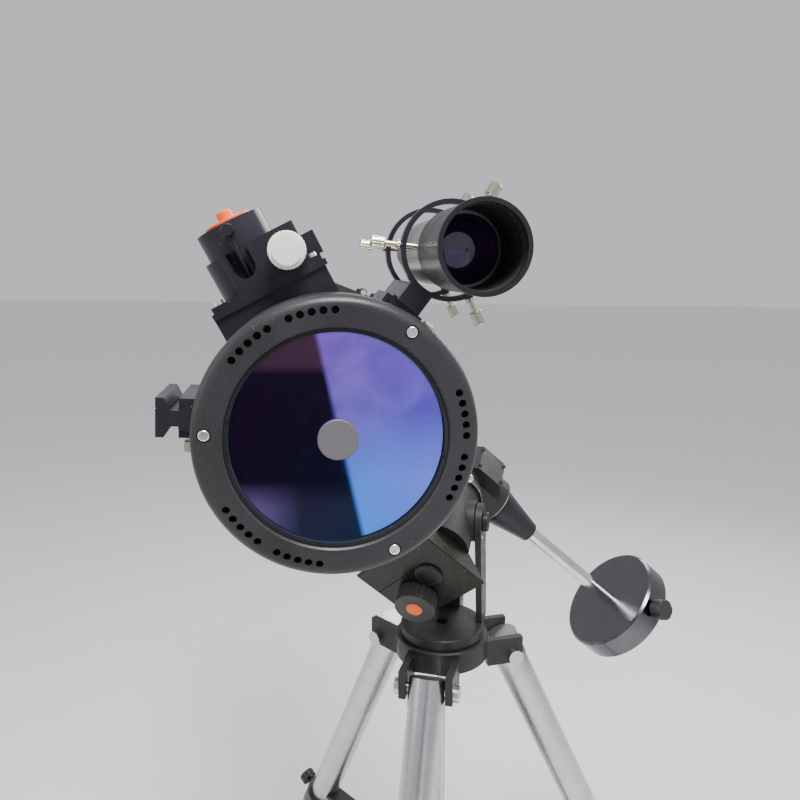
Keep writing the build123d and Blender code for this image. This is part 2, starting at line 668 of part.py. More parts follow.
def make_drive_wheel():
    wheel = ribbed(25, 1, 24, 24, 1.3) + rod(6, -20, 1) - rod(10, 22.8, 25)
    return Rot(0, 0, DRIVE_TURN) * wheel_place() * wheel


def make_wheel_disc():
    disc = rod(9.9, 22.8, 25)
    disc = fillet(disc.edges().filter_by(GeomType.CIRCLE).sort_by(Axis.Z)[-1], 0.6)
    return Rot(0, 0, DRIVE_TURN) * wheel_place() * disc


# ---- Azimuth fork ------------------------------------------------------------
def make_azimuth_fork():
    base = rod(56, BASE_BOTTOM, BASE_BOTTOM + 14)
    base = chamfer(base.edges().filter_by(GeomType.CIRCLE), 1.5)
    top = PIVOT_HEIGHT
    outline = Polyline((-23, top), (8, BASE_BOTTOM + 8), (50, BASE_BOTTOM + 8), (23, top), close=True)
    ear = Pos(45, 0, 0) * extrude(Plane.YZ * make_face(outline), EAR_THICK)
    ear += Pos(0, 0, top) * along_x(rod(24, 45, 45 + EAR_THICK))
    screw_height = top - PUSH_SCREW_DROP
    bolt_block = block(-16, 16, 62, 76, screw_height - 14, screw_height + 16)
    bolt_block += block(-16, 16, 46, 76, BASE_BOTTOM, screw_height - 8)
    fork = base + ear + mirror(ear, about=Plane.YZ) + bolt_block
    fork -= Pos(0, 0, top) * along_x(rod(8.05, -70, 70))
    fork -= Pos(0, 0, screw_height) * along_y(rod(5.05, 50, 80))
    fork -= rod(8, BASE_BOTTOM - 1, BASE_BOTTOM + 15)
    return fork - block(-70, 70, -8, 8, BASE_BOTTOM - 1, BASE_BOTTOM + 6)


def make_latitude_bolts():
    """The two pivot bolts in the ears and the push screw of the latitude setting."""
    head = rod(13, 45 + EAR_THICK, 52 + EAR_THICK)
    head = fillet(head.edges().filter_by(GeomType.CIRCLE), 1.5)
    pivot = Pos(0, 0, PIVOT_HEIGHT) * along_x(rod(8, 39, 46 + EAR_THICK) + head)
    bar = along_x(rod(3.5, -22, 22))
    screw = rod(5, 61, 84) + Pos(0, 0, 82) * bar + rod(6, 79, 85)
    push = Pos(0, 0, PIVOT_HEIGHT - PUSH_SCREW_DROP) * along_y(screw)
    return Part() + [pivot, mirror(pivot, about=Plane.YZ), push]


# ---- Tripod ------------------------------------------------------------------
def leg_frame(angle):
    """Frame at the top of a leg: z runs down the leg."""
    turn = radians(angle)
    top = Vector(LEG_TOP_RADIUS * cos(turn), LEG_TOP_RADIUS * sin(turn), LEG_TOP_HEIGHT)
    low = Vector(FOOT_RADIUS * cos(turn), FOOT_RADIUS * sin(turn), FOOT_HEIGHT)
    side = Vector(-sin(turn), cos(turn), 0)
    return Plane(origin=top, x_dir=side, z_dir=low - top).location


LEG_RUN = FOOT_RADIUS - LEG_TOP_RADIUS
LEG_LENGTH = sqrt(LEG_RUN ** 2 + (LEG_TOP_HEIGHT - FOOT_HEIGHT) ** 2)


def make_tripod_head():
    head = rod(HEAD_R, HEAD_BOTTOM, BASE_BOTTOM)
    head = chamfer(head.edges().filter_by(GeomType.CIRCLE), 1.5)
    head -= rod(8.5, HEAD_BOTTOM - 1, BASE_BOTTOM + 1)
    for angle in LEG_ANGLES:
        ear = block(54, 104, 25, 34, HEAD_BOTTOM - 12, BASE_BOTTOM - 6)
        ears = ear + mirror(ear, about=Plane.XZ)
        bore = Pos(LEG_TOP_RADIUS, 0, LEG_TOP_HEIGHT) * along_y(rod(6, -40, 40))
        web = block(50, 61, -34, 34, HEAD_BOTTOM, BASE_BOTTOM - 6)
        head += Rot(0, 0, angle) * (ears + web)
        head -= Rot(0, 0, angle) * bore
    return head


def make_tripod_legs():
    leg = rod(LEG_R, -6, 430) - rod(EXTENSION_R + 0.1, 60, 431)
    leg += rod(LEG_R + 1.5, -14, 22) - rod(EXTENSION_R + 0.1, 60, 431)
    leg -= along_x(rod(6, -40, 40))
    return Part() + [leg_frame(angle) * leg for angle in LEG_ANGLES]


def make_leg_extensions():
    inner = tube(EXTENSION_R, EXTENSION_R - 1.5, 300, LEG_LENGTH - 14)
    return Part() + [leg_frame(angle) * inner for angle in LEG_ANGLES]


def make_feet():
    feet = Part()
    for angle in LEG_ANGLES:
        turn = Rot(0, 0, angle)
        pad = turn * rod(24, 0, 8, x=FOOT_RADIUS)
        ankle = turn * Pos(FOOT_RADIUS, 0, 14) * Sphere(12)
        boot = leg_frame(angle) * rod(22, LEG_LENGTH - 40, LEG_LENGTH - 4)
        socket = leg_frame(angle) * rod(EXTENSION_R, 0, LEG_LENGTH - 14)
        feet += pad + (ankle & block(-500, 500, -500, 500, 0, 60)) + boot - socket
    return feet


def make_spreader_tray():
    tray = rod(95, TRAY_HEIGHT, TRAY_HEIGHT + 5) + rod(20, TRAY_HEIGHT - 10, TRAY_HEIGHT + 5)
    leg_radius = LEG_TOP_RADIUS + LEG_RUN * (LEG_TOP_HEIGHT - TRAY_HEIGHT) / (LEG_TOP_HEIGHT - FOOT_HEIGHT)
    arm = block(80, leg_radius - 10, -14, 14, TRAY_HEIGHT, TRAY_HEIGHT + 5)
    tray += [Rot(0, 0, angle) * arm for angle in LEG_ANGLES]
    tray -= [turn * rod(16.5, TRAY_HEIGHT - 1, TRAY_HEIGHT + 6, x=62) for turn in around(6, 30)]
    tray -= rod(6.1, TRAY_HEIGHT - 11, TRAY_HEIGHT + 6)
    legs = [leg_frame(angle) * rod(LEG_R, 0, 431) for angle in LEG_ANGLES]
    return tray - legs


def make_tripod_bolts():
    """Centre rod from the tray up to the head, and the hinge bolts of the legs."""
    centre = rod(6, TRAY_HEIGHT - 40, BASE_BOTTOM - 2) + rod(12, HEAD_BOTTOM - 12, HEAD_BOTTOM)
    bolt = along_y(rod(6, -36, 36) + rod(10, 34, 41) + rod(10, -41, -34))
    place = Pos(LEG_TOP_RADIUS, 0, LEG_TOP_HEIGHT)
    return Part() + [centre] + [Rot(0, 0, angle) * place * bolt for angle in LEG_ANGLES]


def make_tripod_knobs():
    """Lock collars and knobs of the legs, and the knob under the tray."""
    tray_knob = lobed_knob(24, TRAY_HEIGHT - 34, TRAY_HEIGHT - 10, 6) - rod(6, 0, TRAY_HEIGHT)
    collar = tube(LEG_R + 6, LEG_R, 404, 430)
    collar += tube(LEG_R + 6, EXTENSION_R, 430, 440)
    knob = rod(4, LEG_R + 4, LEG_R + 12) + lobed_knob(13, LEG_R + 12, LEG_R + 26, 6)
    clamp = collar + Pos(0, 0, 420) * along_y(knob)
    return Part() + [tray_knob] + [leg_frame(angle) * clamp for angle in LEG_ANGLES]


# ---- All nodes ---------------------------------------------------------------
def build_nodes():
    tube_parts = {
        "main_tube": make_main_tube(),
        "front_cell": make_front_cell(),
        "front_cell_screws": make_front_cell_screws(),
        "corrector_lens": make_corrector_lens(),
        "corrector_ring": make_corrector_ring(),
        "secondary_cover": make_secondary_cover(),
        "secondary_holder": make_secondary_holder(),
        "secondary_mirror": make_secondary_mirror(),
        "primary_mirror": make_primary_mirror(),
        "mirror_cell": make_mirror_cell(),
        "collimation_screws": make_collimation_screws(),
        "rear_cell": make_rear_cell(),
        "finder_tube": finder_at(make_finder_tube()),
        "finder_dew_shield": finder_at(make_finder_dew_shield()),
        "finder_lens": finder_at(make_finder_lens()),
        "finder_eyepiece": finder_at(make_finder_eyepiece()),
        "finder_bracket": finder_at(make_finder_bracket()),
        "finder_shoe": make_finder_shoe(),
        "thumb_screws": make_thumb_screws(),
        "accessory_shoe": make_accessory_shoe(),
        "accessory_adapter": make_accessory_adapter(),
        "tube_rings_lower": make_rings_lower(),
        "tube_fasteners": make_tube_fasteners(),
        "ring_upper_front": make_ring_upper(RING_STATIONS[0]),
        "ring_upper_rear": make_ring_upper(RING_STATIONS[1]),
        "dovetail_bar": make_dovetail_bar(),
        "saddle": make_saddle(),
        "saddle_knob": make_saddle_knob(),
    }
    focuser_parts = {
        "focuser_plates": make_focuser_plates(),
        "focuser_body": make_focuser_body(),
        "focuser_drawtube": make_focuser_drawtube(),
        "eyepiece_screw": make_eyepiece_screw(),
        "pinion_shaft": make_pinion_shaft(),
        "focus_knobs": make_focus_knobs(),
        "dust_cap": make_dust_cap(),
    }
    dec_parts = {
        "dec_housing": make_dec_housing(),
        "dec_shaft": make_dec_shaft(),
        "dec_setting_circle": make_dec_circle(),
        "dec_cone": make_dec_cone(),
        "counterweight_bar": make_counterweight_bar(),
        "bar_end_stop": make_bar_stop(),
        "counterweight": make_counterweight(),
        "counterweight_knob": make_weight_knob(),
    }
    head_parts = {
        "ra_setting_circle": make_ra_circle(),
        "ra_shaft": make_ra_shaft(),
    }
    polar_parts = {
        "ra_housing": make_ra_housing(),
        "clutch_lever": make_clutch_lever(),
        "drive_box": make_drive_box(),
        "polar_cover": make_polar_cover(),
        "drive_wheel": make_drive_wheel(),
        "wheel_disc": make_wheel_disc(),
    }
    ground_parts = {
        "azimuth_fork": make_azimuth_fork(),
        "latitude_bolts": make_latitude_bolts(),
        "tripod_head": make_tripod_head(),
        "tripod_legs": make_tripod_legs(),
        "leg_extensions": make_leg_extensions(),
        "feet": make_feet(),
        "spreader_tray": make_spreader_tray(),
        "tripod_bolts": make_tripod_bolts(),
        "tripod_knobs": make_tripod_knobs(),
    }
    groups = [
        (tube_frame, tube_parts),
        (focuser_frame, focuser_parts),
        (dec_frame, dec_parts),
        (head_frame, head_parts),
        (polar_frame, polar_parts),
        (Location(), ground_parts),
    ]
    return {name: frame * shape for frame, parts in groups for name, shape in parts.items()}


os.makedirs("parts", exist_ok=True)
for node_name, node_shape in build_nodes().items():
    export_step(node_shape, f"parts/{node_name}.step")
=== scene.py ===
import json
import math

import bmesh
import bpy
from mathutils import Matrix, Vector


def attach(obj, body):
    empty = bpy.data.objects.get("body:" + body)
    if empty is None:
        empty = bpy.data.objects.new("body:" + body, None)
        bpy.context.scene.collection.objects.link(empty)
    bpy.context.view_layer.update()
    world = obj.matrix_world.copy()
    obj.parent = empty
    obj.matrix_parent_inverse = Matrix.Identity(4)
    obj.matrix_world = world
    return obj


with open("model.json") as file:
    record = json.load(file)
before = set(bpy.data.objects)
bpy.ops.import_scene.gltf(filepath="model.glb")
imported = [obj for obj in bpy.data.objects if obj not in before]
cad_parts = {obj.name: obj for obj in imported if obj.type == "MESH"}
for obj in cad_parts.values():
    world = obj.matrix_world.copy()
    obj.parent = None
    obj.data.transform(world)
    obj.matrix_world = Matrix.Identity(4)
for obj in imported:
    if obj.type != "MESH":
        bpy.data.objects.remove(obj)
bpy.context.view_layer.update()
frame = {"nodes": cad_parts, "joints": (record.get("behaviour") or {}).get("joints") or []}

# Catadioptric Newtonian telescope on a German equatorial mount.
# Metres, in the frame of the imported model: +Z up, open front of the tube towards -Y.

# ---- Axes of the object, read from its joints ----------------------------------------
joints = {joint["name"]: joint for joint in frame["joints"]}
HEAD = Vector(joints["dec_turn"]["pos_m"])
PIVOT = Vector(joints["latitude_tilt"]["pos_m"])
DEC_DOWN = Vector(joints["dec_turn"]["axis"]).normalized()
POLAR_DOWN = Vector(joints["ra_turn"]["axis"]).normalized()
TUBE_FORWARD = -Vector(joints["focus_turn"]["axis"]).normalized()
TUBE_X = (-DEC_DOWN).cross(TUBE_FORWARD)
FOCUS_OUT = Vector(joints["focus_slide"]["axis"])

# ---- Distances shared with the CAD ---------------------------------------------------
MM = 0.001
TUBE_OFFSET = 256 * MM         # polar axis to tube axis
DEC_TO_FRONT = 470 * MM        # declination axis to the front face
FINDER_DISTANCE = 166 * MM     # tube axis to finder axis
FINDER_ANGLE = math.radians(3.5)
SHADE_BORE = 30 * MM
CIRCLE_R = 27 * MM             # declination setting circle
CIRCLE_START = 75 * MM
CIRCLE_THICK = 5 * MM
RA_CIRCLE_R = 46 * MM
RA_CIRCLE_END = 57.7 * MM
EAR_FACE = 53 * MM             # outer face of the fork's ears
EAR_MARKS_R = 22.5 * MM        # outer ends of the latitude scale's marks
COVER_FACE = -47.9 * MM        # end face of the declination gear cover, screws sunk a little
COVER_SCREWS_X = 17 * MM
COVER_SCREWS_Z = (6 * MM, 46 * MM)

FRONT = HEAD - DEC_DOWN * TUBE_OFFSET + TUBE_FORWARD * DEC_TO_FRONT


def placing(origin, x_axis, z_axis):
    """Matrix of a working frame from its origin, x axis and z axis."""
    z_axis = z_axis.normalized()
    y_axis = z_axis.cross(x_axis).normalized()
    x_axis = y_axis.cross(z_axis)
    matrix = Matrix((x_axis, y_axis, z_axis)).transposed().to_4x4()
    matrix.translation = origin
    return matrix


TUBE = placing(FRONT, TUBE_X, TUBE_FORWARD)
DEC = placing(HEAD, POLAR_DOWN, DEC_DOWN)
POLAR = placing(HEAD, DEC_DOWN, POLAR_DOWN)
finder_side = TUBE_X * math.cos(FINDER_ANGLE) + TUBE.col[1].to_3d() * math.sin(FINDER_ANGLE)
FINDER = placing(FRONT + finder_side * FINDER_DISTANCE, finder_side, TUBE_FORWARD)


# ---- Camera --------------------------------------------------------------------------
CAMERA_HEADING = math.radians(14.84)
CAMERA_PITCH = math.radians(10.0)
FRONT_TO_RIGHT = -42.3 * MM    # where the front of the tube lies from the camera
FRONT_BELOW = 28.6 * MM
FRONT_AHEAD = 482.8 * MM


def make_camera():
    data = bpy.data.cameras.new("Camera")
    data.lens = 31.5
    data.sensor_width = 36
    data.clip_start = 0.02
    camera = bpy.data.objects.new("Camera", data)
    bpy.context.scene.collection.objects.link(camera)
    turned = math.cos(CAMERA_PITCH)
    ahead = Vector((
        -math.sin(CAMERA_HEADING) * turned,
        math.cos(CAMERA_HEADING) * turned,
        -math.sin(CAMERA_PITCH),
    ))
    right = ahead.cross(Vector((0, 0, 1))).normalized()
    below = ahead.cross(right)
    place = FRONT - right * FRONT_TO_RIGHT - below * FRONT_BELOW - ahead * FRONT_AHEAD
    camera.matrix_world = placing(place, right, -ahead)
    bpy.context.scene.camera = camera
    return place


CAMERA_PLACE = make_camera()


# ---- Material building blocks --------------------------------------------------------
class Finish:
    """A node material that is built up step by step around one Principled shader."""

    def __init__(self, name, constants=None):
        self.material = bpy.data.materials.new(name)
        self.material.use_nodes = True
        self.tree = self.material.node_tree
        self.shader = self.tree.nodes["Principled BSDF"]
        self.coords = self.tree.nodes.new("ShaderNodeTexCoord").outputs["Object"]
        for socket, value in (constants or {}).items():
            self.shader.inputs[socket].default_value = value

    def link(self, source, node, socket):
        self.tree.links.new(source, node.inputs[socket])

    def along(self, axis):
        """Distance along an axis, in metres."""
        node = self.tree.nodes.new("ShaderNodeVectorMath")
        node.operation = "DOT_PRODUCT"
        self.link(self.coords, node, 0)
        node.inputs[1].default_value = axis
        return node.outputs["Value"]

    def distance(self, point):
        """Distance from a point, in metres."""
        node = self.tree.nodes.new("ShaderNodeVectorMath")
        node.operation = "DISTANCE"
        self.link(self.coords, node, 0)
        node.inputs[1].default_value = point
        return node.outputs["Value"]

    def noise(self, scale, detail=3.0, roughness=0.5, distortion=0.0):
        node = self.tree.nodes.new("ShaderNodeTexNoise")
        self.link(self.coords, node, "Vector")
        node.inputs["Scale"].default_value = scale
        node.inputs["Detail"].default_value = detail
        node.inputs["Roughness"].default_value = roughness
        node.inputs["Distortion"].default_value = distortion
        return node.outputs["Fac"]

    def lathe_noise(self, axis, scale, detail=2.0):
        """Noise that changes only along an axis, as turning marks do."""
        node = self.tree.nodes.new("ShaderNodeTexNoise")
        node.noise_dimensions = "1D"
        self.link(self.along(axis), node, "W")
        node.inputs["Scale"].default_value = scale
        node.inputs["Detail"].default_value = detail
        return node.outputs["Fac"]

    def brushed_noise(self, axis, scale, stretch):
        """Noise drawn out along an axis, as brushing marks are."""
        keep = self.tree.nodes.new("ShaderNodeVectorMath")
        keep.operation = "SCALE"
        keep.inputs[0].default_value = axis
        self.link(self.along(axis), keep, "Scale")
        shrink = self.tree.nodes.new("ShaderNodeVectorMath")
        shrink.operation = "SCALE"
        self.link(keep.outputs[0], shrink, 0)
        shrink.inputs["Scale"].default_value = 1 - 1 / stretch
        less = self.tree.nodes.new("ShaderNodeVectorMath")
        less.operation = "SUBTRACT"
        self.link(self.coords, less, 0)
        self.link(shrink.outputs[0], less, 1)
        node = self.tree.nodes.new("ShaderNodeTexNoise")
        self.link(less.outputs[0], node, "Vector")
        node.inputs["Scale"].default_value = scale
        node.inputs["Detail"].default_value = 2.0
        return node.outputs["Fac"]

    def cells(self, scale, smooth=0.6):
        node = self.tree.nodes.new("ShaderNodeTexVoronoi")
        node.feature = "SMOOTH_F1"
        self.link(self.coords, node, "Vector")
        node.inputs["Scale"].default_value = scale
        node.inputs["Smoothness"].default_value = smooth
        return node.outputs["Distance"]

    def spread(self, source, low, high, from_low=0.35, from_high=0.65):
        node = self.tree.nodes.new("ShaderNodeMapRange")
        self.link(source, node, "Value")
        node.inputs["From Min"].default_value = from_low
        node.inputs["From Max"].default_value = from_high
        node.inputs["To Min"].default_value = low
        node.inputs["To Max"].default_value = high
        return node.outputs["Result"]

    def mix(self, factor, first, second):
        """Blend two colours, each given as a socket or as numbers."""
        node = self.tree.nodes.new("ShaderNodeMix")
        node.data_type = "RGBA"
        self.link(factor, node, 0)
        for socket, value in ((6, first), (7, second)):
            if isinstance(value, tuple):
                node.inputs[socket].default_value = (*value, 1)
            else:
                self.link(value, node, socket)
        return node.outputs[2]

    def colour(self, source):
        self.link(source, self.shader, "Base Color")

    def rough(self, source, low, high, from_low=0.35, from_high=0.65):
        self.link(self.spread(source, low, high, from_low, from_high), self.shader, "Roughness")

    def bump(self, *layers):
        """Stack bump layers, each a height source and its depth in metres."""
        normal = None
        for source, depth in layers:
            node = self.tree.nodes.new("ShaderNodeBump")
            node.inputs["Strength"].default_value = 1.0
            node.inputs["Distance"].default_value = depth
            self.link(source, node, "Height")
            if normal is not None:
                self.link(normal, node, "Normal")
            normal = node.outputs["Normal"]
        self.link(normal, self.shader, "Normal")


def sparse(finish, scale, threshold):
    """Mask of small scattered specks."""
    return finish.spread(finish.noise(scale, 2.0), 0.0, 1.0, threshold, threshold + 0.05)


def smudged(finish, clean, worn, patch_scale=14.0):
    """Slow colour change from place to place, broken up by a fine grain."""
    patches = finish.spread(finish.noise(patch_scale, 5.0, 0.6), 0.0, 1.0)
    base = finish.mix(patches, clean, worn)
    grain = finish.spread(finish.noise(900.0, 2.0), 0.0, 0.35)
    return finish.mix(grain, base, worn)


# ---- Materials -----------------------------------------------------------------------
def painted_cast(name, dark, light, pebble, depth, rough_low, rough_high):
    """Powder coat on a casting: rounded pebbles over a slow swell, pebble tops painted lighter than the
    hollows as a painted highlight.
    """
    finish = Finish(name, {"Specular IOR Level": 0.3})
    pebbles = finish.cells(pebble)
    base = smudged(finish, dark, light)
    # Pebble tops painted lighter than the hollows between them: painted highlight.
    painted_highlight_tops = finish.spread(pebbles, 0.35, 0.0, 0.1, 0.6)
    base = finish.mix(painted_highlight_tops, base, tuple(min(1.0, 1.9 * part) for part in light))
    specks = sparse(finish, 420.0, 0.74)
    finish.colour(finish.mix(specks, base, (0.19, 0.18, 0.17)))
    finish.rough(finish.noise(60.0, 4.0), rough_low, rough_high)
    finish.bump((pebbles, depth), (finish.noise(pebble * 0.4, 2.0), depth * 0.6))
    return finish.material


def anodised(name, dark, light, rough_low, rough_high, axis=None):
    """Black anodised or enamelled metal, turned about axis where it has one."""
    finish = Finish(name, {"Specular IOR Level": 0.3})
    specks = sparse(finish, 300.0, 0.73)
    finish.colour(finish.mix(specks, smudged(finish, dark, light), (0.16, 0.15, 0.15)))
    finish.rough(finish.noise(35.0, 5.0, 0.65), rough_low, rough_high)
    fine = (finish.noise(1600.0, 2.0), 0.00002)
    if axis is None:
        finish.bump(fine)
    else:
        finish.bump(fine, (finish.lathe_noise(axis, 1500.0), 0.00003))
    return finish.material


def gloss_paint(name, clean, worn, rough_low, rough_high, peel=0.00004):
    finish = Finish(name, {"Coat Weight": 0.35, "Coat Roughness": 0.08})
    dust = sparse(finish, 260.0, 0.72)
    shade = tuple(part * 0.55 for part in worn)
    finish.colour(finish.mix(dust, smudged(finish, clean, worn), shade))
    finish.rough(finish.noise(22.0, 4.0), rough_low, rough_high)
    finish.bump((finish.noise(420.0, 2.0), peel))
    return finish.material


def moulded(name, clean, worn, rough_low, rough_high, grain=0.00003):
    """Moulded plastic: fine spark-eroded grain and soft handling marks."""
    finish = Finish(name)
    finish.colour(smudged(finish, clean, worn, 30.0))
    finish.rough(finish.noise(45.0, 5.0), rough_low, rough_high)
    finish.bump((finish.noise(1300.0, 3.0), grain))
    return finish.material


def brushed_metal(name, bright, dull, rough_low, rough_high, axis, stretch=30.0, depth=0.00002):
    """Bare metal drawn or brushed along axis."""
    finish = Finish(name, {"Metallic": 1.0})
    lines = finish.brushed_noise(axis, 1500.0, stretch)
    stains = finish.spread(finish.noise(28.0, 5.0, 0.65), 0.0, 1.0)
    base = finish.mix(stains, bright, dull)
    finish.colour(finish.mix(finish.spread(lines, 0.0, 0.45), base, dull))
    finish.rough(lines, rough_low, rough_high)
    finish.bump((lines, depth))
    return finish.material


def turned_metal(name, bright, dull, rough_low, rough_high, axis, depth=0.00003):
    """Bare metal turned on a lathe: rings round axis."""
    finish = Finish(name, {"Metallic": 1.0})
    rings = finish.lathe_noise(axis, 2600.0, 3.0)
    stains = finish.spread(finish.noise(34.0, 5.0, 0.65), 0.0, 1.0)
    base = finish.mix(stains, bright, dull)
    finish.colour(finish.mix(finish.spread(rings, 0.0, 0.5), base, dull))
    finish.rough(rings, rough_low, rough_high)
    finish.bump((rings, depth))
    return finish.material


def coated_glass():
    """Corrector plate: antireflection coating painted deep blue to violet across the plate as a painted sky
    reflection, greenish at the rim.
    """
    finish = Finish("coated_glass", {
        "Metallic": 0.7,
        "Transmission Weight": 1.0,
        "IOR": 1.5,
        "Coat Weight": 0.35,
        "Coat Roughness": 0.02,
    })
    # Blue to violet by place across the plate is a painted reflection of the sky; the haze noise below
    # breaks it into patches.
    middle = FRONT.dot(TUBE_X)
    across = finish.spread(finish.along(TUBE_X), 0.0, 1.0, middle - 0.02, middle + 0.07)
    side = TUBE.col[1].to_3d()
    middle = FRONT.dot(side)
    up = finish.spread(finish.along(side), 0.0, 1.0, middle - 0.05, middle + 0.05)
    blue = finish.mix(across, (0.10, 0.30, 0.98), (0.24, 0.20, 0.98))
    violet = finish.mix(across, (0.36, 0.16, 0.72), (0.48, 0.26, 0.98))
    # clean holds the painted sky reflection, blue to violet by place, before its patches.
    clean = finish.mix(up, blue, violet)
    haze = finish.spread(finish.noise(24.0, 6.0, 0.7, 0.6), 0.0, 0.3)
    painted_reflection = finish.mix(haze, clean, (0.26, 0.16, 0.8))
    rim = finish.spread(finish.distance(FRONT), 0.0, 0.8, 0.0738, 0.0758)
    finish.colour(finish.mix(rim, painted_reflection, (0.05, 0.34, 0.26)))
    finish.rough(finish.noise(18.0, 5.0, 0.7), 0.012, 0.04)
    return finish.material


def lens_glass():
    """Finder objective: dark glass with a faint magenta coating."""
    shine = {"Metallic": 0.12, "Transmission Weight": 0.85, "IOR": 1.52, "Coat Weight": 0.6}
    finish = Finish("lens_glass", shine)
    haze = finish.spread(finish.noise(60.0, 5.0, 0.7), 0.0, 0.6)
    finish.colour(finish.mix(haze, (0.07, 0.03, 0.11), (0.16, 0.08, 0.22)))
    finish.rough(finish.noise(90.0, 4.0), 0.01, 0.04)
    return finish.material


def mirror_glass():
    finish = Finish("mirror_coat", {"Metallic": 1.0})
    haze = finish.spread(finish.noise(30.0, 5.0, 0.7), 0.0, 1.0)
    finish.colour(finish.mix(haze, (0.90, 0.91, 0.92), (0.78, 0.80, 0.82)))
    finish.rough(finish.noise(44.0, 5.0), 0.01, 0.05)
    return finish.material


def rubber_finish():
    finish = Finish("rubber", {"Sheen Weight": 0.15})
    dust = finish.spread(finish.noise(70.0, 6.0, 0.7), 0.0, 1.0)
    finish.colour(finish.mix(dust, (0.014, 0.013, 0.013), (0.06, 0.055, 0.05)))
    finish.rough(finish.noise(240.0, 4.0), 0.62, 0.85)
    finish.bump((finish.noise(1100.0, 3.0), 0.00006))
    return finish.material


def dark_finishes():
    """Castings, anodised parts and linings, all nearly black."""
    return {
        "cell": painted_cast(
            "cell_enamel", (0.020, 0.0185, 0.021), (0.031, 0.029, 0.032), 1150.0, 0.00010, 0.30, 0.42,
        ),
        "cast": painted_cast(
            "mount_enamel", (0.014, 0.013, 0.015), (0.024, 0.022, 0.025), 760.0, 0.00014, 0.34, 0.5,
        ),
        "anodised": anodised("black_anodised", (0.012, 0.010, 0.014), (0.022, 0.018, 0.026), 0.24, 0.38),
        "drawtube": anodised(
            "drawtube_anodised", (0.014, 0.012, 0.018), (0.026, 0.022, 0.034), 0.16, 0.28, FOCUS_OUT,
        ),
        "ring": anodised(
            "ring_enamel", (0.010, 0.010, 0.011), (0.018, 0.017, 0.019), 0.28, 0.42, TUBE_FORWARD,
        ),
        "inside": anodised("matt_lining", (0.006, 0.006, 0.006), (0.012, 0.012, 0.012), 0.7, 0.9),
        "drive": anodised("drive_cover", (0.009, 0.0085, 0.005), (0.015, 0.014, 0.009), 0.22, 0.34),
    }


def plastic_finishes():
    """Painted, moulded and printed surfaces."""
    return {
        "tube": gloss_paint("tube_enamel", (0.80, 0.81, 0.80), (0.72, 0.73, 0.72), 0.22, 0.34),
        "white": moulded("white_plastic", (0.90, 0.90, 0.88), (0.80, 0.79, 0.75), 0.28, 0.40),
        "cover": moulded("cover_enamel", (0.105, 0.096, 0.104), (0.130, 0.120, 0.128), 0.45, 0.58),
        "orange": moulded("orange_plastic", (0.95, 0.15, 0.012), (0.84, 0.115, 0.010), 0.36, 0.5),
        "cream": moulded("cream_plastic", (0.80, 0.76, 0.62), (0.70, 0.64, 0.50), 0.35, 0.5),
        "plastic": moulded("black_plastic", (0.016, 0.015, 0.016), (0.028, 0.026, 0.027), 0.34, 0.5),
        "ink": moulded("black_ink", (0.02, 0.02, 0.022), (0.04, 0.04, 0.042), 0.5, 0.7),
        "pale_ink": moulded("white_ink", (0.78, 0.78, 0.76), (0.66, 0.66, 0.64), 0.5, 0.7),
        "rubber": rubber_finish(),
    }


def metal_finishes():
    """Bare metals, brushed along or turned round an axis of the object."""
    upright = Vector((0, 0, 1))
    return {
        "chrome": brushed_metal("bar_chrome", (0.86, 0.87, 0.88), (0.66, 0.66, 0.68), 0.07, 0.18, DEC_DOWN),
        "steel": brushed_metal("satin_steel", (0.62, 0.62, 0.61), (0.54, 0.54, 0.53), 0.24, 0.36, upright),
        "gunmetal": turned_metal(
            "finder_gunmetal", (0.44, 0.44, 0.41), (0.27, 0.27, 0.25), 0.2, 0.38, TUBE_FORWARD,
        ),
        "weight": turned_metal(
            "weight_iron", (0.150, 0.146, 0.158), (0.125, 0.121, 0.132), 0.16, 0.26, DEC_DOWN, 0.00001,
        ),
        "screw": turned_metal("screw_nickel", (0.72, 0.66, 0.55), (0.50, 0.45, 0.36), 0.18, 0.34, TUBE_X),
        "zinc": turned_metal(
            "screw_zinc", (0.95, 0.95, 0.93), (0.84, 0.84, 0.82), 0.26, 0.36, TUBE_X, 0.00001,
        ),
    }


def optical_finishes():
    return {"glass": coated_glass(), "lens": lens_glass(), "mirror": mirror_glass()}


MATERIALS = {**dark_finishes(), **plastic_finishes(), **metal_finishes(), **optical_finishes()}

# Finish of every CAD node.
NODE_FINISHES = {
    "cell": "front_cell rear_cell",
    "cast": (
        "tripod_head azimuth_fork ra_housing dec_housing saddle tube_rings_lower"
        " ring_upper_front ring_upper_rear mirror_cell"
    ),
    "anodised": (
        "focuser_plates focuser_body finder_shoe accessory_shoe accessory_adapter dovetail_bar"
        " dec_cone finder_bracket eyepiece_screw"
    ),
    "drawtube": "focuser_drawtube",
    "ring": "finder_dew_shield corrector_ring finder_eyepiece polar_cover latitude_bolts",
    "inside": "secondary_holder",
    "drive": "drive_box",
    "tube": "main_tube",
    "white": "focus_knobs",
    "cover": "secondary_cover",
    "orange": "dust_cap wheel_disc",
    "cream": "dec_setting_circle",
    "plastic": "ra_setting_circle drive_wheel saddle_knob counterweight_knob spreader_tray tripod_knobs",
    "rubber": "feet",
    "glass": "corrector_lens",
    "lens": "finder_lens",
    "mirror": "primary_mirror secondary_mirror",
    "chrome": "counterweight_bar bar_end_stop clutch_lever",
    "steel": "tripod_legs leg_extensions tripod_bolts ra_shaft dec_shaft pinion_shaft",
    "gunmetal": "finder_tube",
    "weight": "counterweight",
    "screw": "thumb_screws",
    "zinc": "front_cell_screws collimation_screws tube_fasteners",
}


def dress_nodes():
    for finish, names in NODE_FINISHES.items():
        for name in names.split():
            mesh = frame["nodes"][name].data
            mesh.materials.clear()
            mesh.materials.append(MATERIALS[finish])


dress_nodes()


# ---- Small mesh builders -------------------------------------------------------------
SQUARE = ((-1, -1), (1, -1), (1, 1), (-1, 1))


